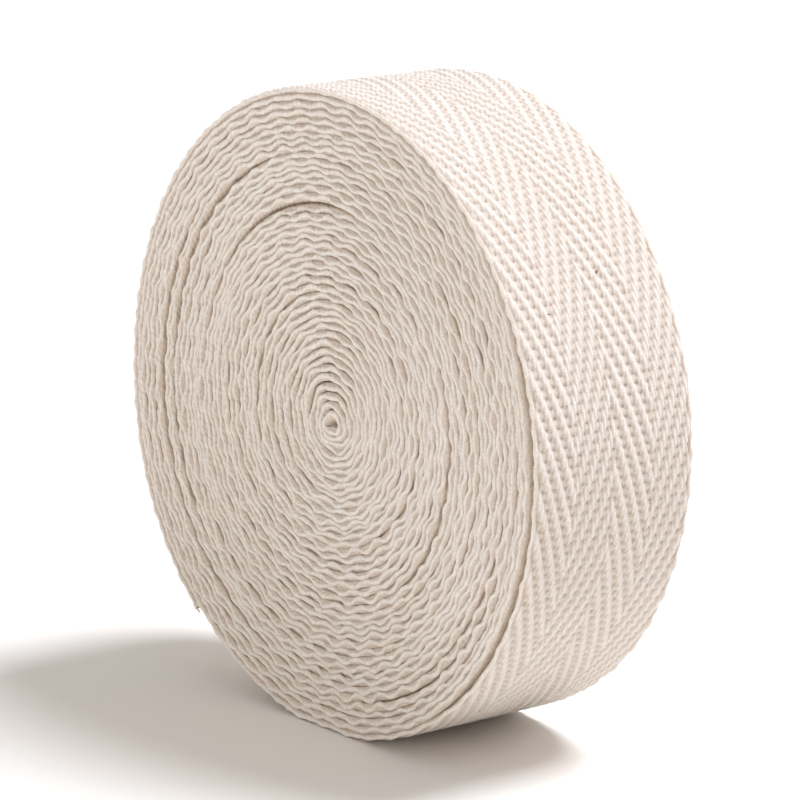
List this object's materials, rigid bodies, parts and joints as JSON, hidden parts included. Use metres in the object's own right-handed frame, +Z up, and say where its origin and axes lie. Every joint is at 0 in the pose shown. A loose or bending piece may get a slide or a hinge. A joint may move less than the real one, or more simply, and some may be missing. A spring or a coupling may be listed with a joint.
{
  "type": "roll of cotton herringbone tape",
  "caption": "Tightly wound roll of undyed cotton herringbone tape, standing on its rim with both spiral faces open.",
  "frame": {"origin": "bottom centre of the roll's bounding box, under the small flat spot that it stands on", "axes": "+Y along the roll's axis, from the front face to the back face; +Z up; +X to the right for someone who looks at the front face"},
  "size_m": [0.1018, 0.0306, 0.1004],
  "materials": {
    "undyed_cotton": "matt woven cotton, cream, in a raised herringbone twill"
  },
  "bodies": {
    "root": {"tape_roll": "undyed_cotton"}
  },
  "joints": []
}
